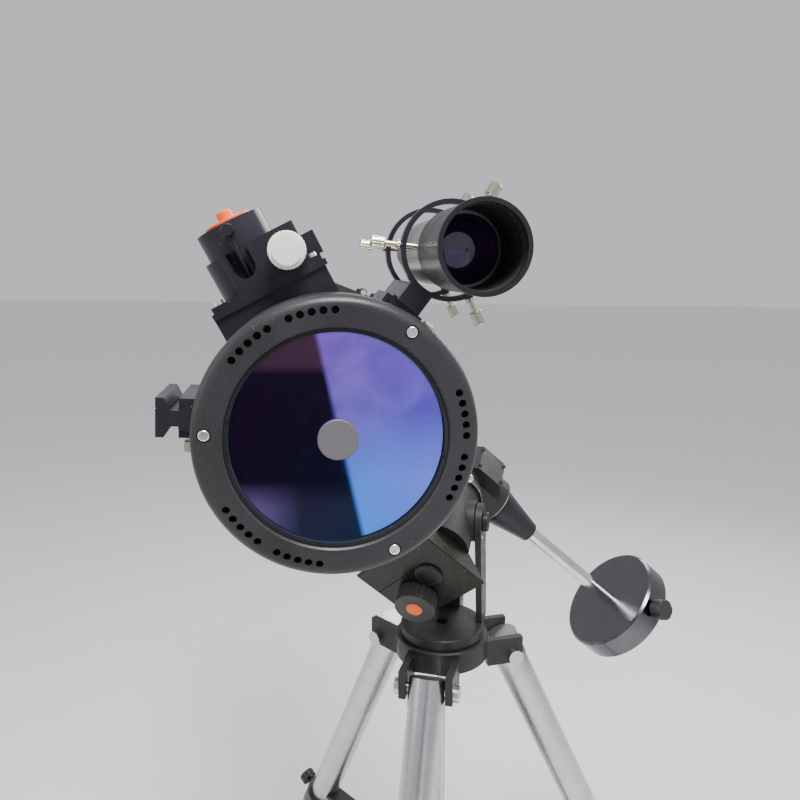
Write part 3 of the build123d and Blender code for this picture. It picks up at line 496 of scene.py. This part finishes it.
def finish_piece(name, mesh_maker, place, finish, body, smooth=True):
    """Turn a bmesh into a piece that rides on a body."""
    mesh = bpy.data.meshes.new(name)
    mesh_maker.to_mesh(mesh)
    mesh_maker.free()
    mesh.transform(place)
    mesh.materials.append(MATERIALS[finish])
    if smooth:
        mesh.shade_smooth()
        mesh.set_sharp_from_angle(angle=math.radians(35))
    piece = bpy.data.objects.new(name, mesh)
    bpy.context.scene.collection.objects.link(piece)
    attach(piece, body)


def add_lathe(maker, profile, place=Matrix(), steps=96):
    """Spin a closed outline of (radius, z) points about z."""
    rings = []
    for step in range(steps):
        turn = 2 * math.pi * step / steps
        ring = [place @ Vector((r * math.cos(turn), r * math.sin(turn), z)) for r, z in profile]
        rings.append([maker.verts.new(point) for point in ring])
    count = len(profile)
    for step, ring in enumerate(rings):
        following = rings[(step + 1) % steps]
        for i in range(count):
            j = (i + 1) % count
            maker.faces.new((ring[i], following[i], following[j], ring[j]))


def add_bar(maker, size, place):
    """A small bar with softened top edges, centred on x and y, rising from z = 0."""
    width, length, height = size
    soft = min(width, length) * 0.22
    levels = ((0, 0), (height - soft, 0), (height, soft))
    loops = []
    for z, inset in levels:
        corners = []
        for sx, sy in SQUARE:
            corners.append(place @ Vector((sx * (width / 2 - inset), sy * (length / 2 - inset), z)))
        loops.append([maker.verts.new(corner) for corner in corners])
    for low, high in zip(loops, loops[1:]):
        for i in range(4):
            j = (i + 1) % 4
            maker.faces.new((low[i], low[j], high[j], high[i]))
    maker.faces.new(loops[-1])
    maker.faces.new(list(reversed(loops[0])))


# ---- Extra pieces --------------------------------------------------------------------
def make_circle_marks(name, place, radius, z_edge, count, body, finish):
    """Graduations printed round the rim of a setting circle."""
    maker = bmesh.new()
    for mark in range(count):
        length = (3.4 if mark % 6 == 0 else 2.0) * MM
        turn = Matrix.Rotation(2 * math.pi * mark / count, 4, "Z")
        to_rim = Matrix.Translation((radius - 0.1 * MM, 0, z_edge - length / 2 - 0.3 * MM))
        on_rim = turn @ to_rim @ Matrix.Rotation(math.pi / 2, 4, "Y")
        add_bar(maker, (length, 0.45 * MM, 0.16 * MM), on_rim)
    finish_piece(name, maker, place, finish, body, smooth=False)


def make_shade_ridges():
    """Fine light-trapping ridges inside the finder's dew shade."""
    maker = bmesh.new()
    foot, crest = SHADE_BORE + 0.2 * MM, SHADE_BORE - 0.7 * MM
    pitch = 2.0 * MM
    for ridge in range(27):
        z = -4.5 * MM - ridge * pitch
        add_lathe(maker, [(foot, z), (foot, z - 1.2 * MM), (crest, z - 0.5 * MM)])
    finish_piece("shade_ridges", maker, FINDER, "inside", "optical_tube")


def screw_head(maker, place):
    """Socket head screw, spun from its outline, with a sunk round socket."""
    radius, height = 2.6 * MM, 2.4 * MM
    centre = 0.0003 * MM
    socket_floor = height * 0.4
    outline = [
        (centre, 0), (radius, 0), (radius, height * 0.85), (radius * 0.86, height),
        (radius * 0.52, height), (radius * 0.48, socket_floor), (centre, socket_floor),
    ]
    add_lathe(maker, outline, place, steps=24)


def make_housing_screws():
    """Four cap screws on the end face of the declination housing's gear cover."""
    maker = bmesh.new()
    outward = Matrix.Rotation(math.pi / 2, 4, "X")
    for x in (-COVER_SCREWS_X, COVER_SCREWS_X):
        for z in COVER_SCREWS_Z:
            screw_head(maker, Matrix.Translation((x, COVER_FACE, z)) @ outward)
    finish_piece("gear_cover_screws", maker, DEC, "ring", "dec_head")


def make_latitude_scale():
    """Graduated quadrant on the outer face of the fork's right ear."""
    maker = bmesh.new()
    lowest = math.radians(-90)
    step = math.radians(6)
    to_side = Matrix.Rotation(math.pi / 2, 4, "Y")
    for mark in range(-6, 7):
        length = (4.0 if mark % 3 == 0 else 2.4) * MM
        turn = Matrix.Rotation(lowest + step * mark, 4, "X")
        out = Matrix.Translation((EAR_FACE - 0.05 * MM, EAR_MARKS_R - length / 2, 0))
        add_bar(maker, (0.5 * MM, length, 0.2 * MM), turn @ out @ to_side)
    place = Matrix.Translation(PIVOT)
    finish_piece("latitude_scale", maker, place, "pale_ink", "azimuth_base", smooth=False)


make_circle_marks(
    "dec_circle_marks", DEC, CIRCLE_R, CIRCLE_START + CIRCLE_THICK, 72, "dec_head", "ink",
)
make_circle_marks(
    "ra_circle_marks", POLAR, RA_CIRCLE_R, RA_CIRCLE_END, 96, "dec_head", "pale_ink",
)
make_shade_ridges()
make_housing_screws()
make_latitude_scale()


# ---- Floor and light -----------------------------------------------------------------
def make_floor():
    maker = bmesh.new()
    bmesh.ops.create_grid(maker, x_segments=8, y_segments=8, size=30)
    mesh = bpy.data.meshes.new("floor")
    maker.to_mesh(mesh)
    maker.free()
    floor = bpy.data.objects.new("floor", mesh)
    bpy.context.scene.collection.objects.link(floor)
    finish = Finish("floor")
    finish.colour(finish.mix(finish.noise(6.0, 5.0), (0.80, 0.80, 0.79), (0.84, 0.84, 0.83)))
    finish.rough(finish.noise(9.0), 0.55, 0.7)
    mesh.materials.append(finish.material)


def make_world():
    world = bpy.data.worlds.new("World")
    world.use_nodes = True
    background = world.node_tree.nodes["Background"]
    background.inputs["Color"].default_value = (0.93, 0.96, 1.0, 1)
    background.inputs["Strength"].default_value = 0.68
    bpy.context.scene.world = world


def make_light(name, place, target, size, power):
    data = bpy.data.lights.new(name, "AREA")
    data.shape = "RECTANGLE"
    data.size, data.size_y = size
    data.energy = power
    light = bpy.data.objects.new(name, data)
    bpy.context.scene.collection.objects.link(light)
    light.location = place
    light.rotation_mode = "QUATERNION"
    light.rotation_quaternion = (Vector(target) - Vector(place)).to_track_quat("-Z", "Y")


CARD_AWAY = 0.75               # reflection card from the front of the tube, along the mirrored view
CARD_HALF = 0.32
MIRRORED_HALF = 0.19           # half of what the corrector mirrors at that distance


def card_axes():
    """Centre, side and upward directions of the card, square to the mirrored view of the corrector."""
    mirrored = CAMERA_PLACE - TUBE_FORWARD * (2 * (CAMERA_PLACE - FRONT).dot(TUBE_FORWARD))
    outward = (FRONT - mirrored).normalized()
    side = outward.cross(Vector((0, 0, 1))).normalized()
    return FRONT + outward * CARD_AWAY, side, side.cross(outward)


def card_finish(centre, side, above):
    """Dark at the left with a warm band and a lawn, bright at the right from violet down to blue."""
    finish = Finish("reflection_card", {
        "Base Color": (0, 0, 0, 1),
        "Roughness": 1.0,
        "Emission Strength": 1.0,
    })
    right = -side
    slant = right + above * 0.22

    def ramp(direction, start, end, low=0.0, high=1.0):
        """Blend between two distances from the centre, in halves of the mirrored patch."""
        middle = centre.dot(direction)
        distances = (middle + start * MIRRORED_HALF, middle + end * MIRRORED_HALF)
        return finish.spread(finish.along(direction), low, high, *distances)

    cloud = finish.spread(finish.noise(9.0, 4.0, 0.6, 1.2), 0.0, 1.0)
    sky = finish.mix(cloud, (0.52, 0.44, 0.80), (0.78, 0.72, 0.98))
    pool = finish.mix(ramp(right, 0.0, 0.9), (0.5, 1.3, 1.5), (1.2, 1.2, 1.5))
    bright = finish.mix(ramp(above, -0.35, 0.25), pool, sky)
    shade = finish.mix(ramp(above, 0.62, 0.70), (0.012, 0.012, 0.006), (0.16, 0.12, 0.055))
    leaves = finish.spread(finish.noise(60.0, 6.0, 0.7), 0.0, 0.5, 0.55, 0.7)
    shade = finish.mix(leaves, shade, (0.05, 0.05, 0.04))
    ground = finish.mix(ramp(right, -0.75, -0.35, 1.0, 0.0), (0.10, 0.08, 0.05), (0.55, 0.42, 0.36))
    dark = finish.mix(ramp(above, -0.62, -0.38, 1.0, 0.0), shade, ground)
    finish.link(finish.mix(ramp(slant, 0.0, 0.05), dark, bright), finish.shader, "Emission Color")
    return finish.material


def make_reflection_card():
    """Studio card that only reflections see: the soft dark and bright areas the corrector mirrors."""
    centre, side, above = card_axes()
    maker = bmesh.new()
    corners = [centre + side * (sx * CARD_HALF) + above * (sy * CARD_HALF) for sx, sy in SQUARE]
    maker.faces.new([maker.verts.new(corner) for corner in corners])
    mesh = bpy.data.meshes.new("reflection_card")
    maker.to_mesh(mesh)
    maker.free()
    card = bpy.data.objects.new("reflection_card", mesh)
    bpy.context.scene.collection.objects.link(card)
    mesh.materials.append(card_finish(centre, side, above))
    card.visible_camera = False
    card.visible_diffuse = False
    card.visible_shadow = False


make_floor()
make_world()
make_light("key", (0.5, -1.0, 3.0), FRONT, (0.9, 0.9), 105)
make_light("left", (-1.9, -1.4, 1.9), FRONT, (1.2, 1.8), 12)
make_light("back", (0.8, 1.9, 2.3), FRONT, (1.8, 1.2), 45)
make_reflection_card()
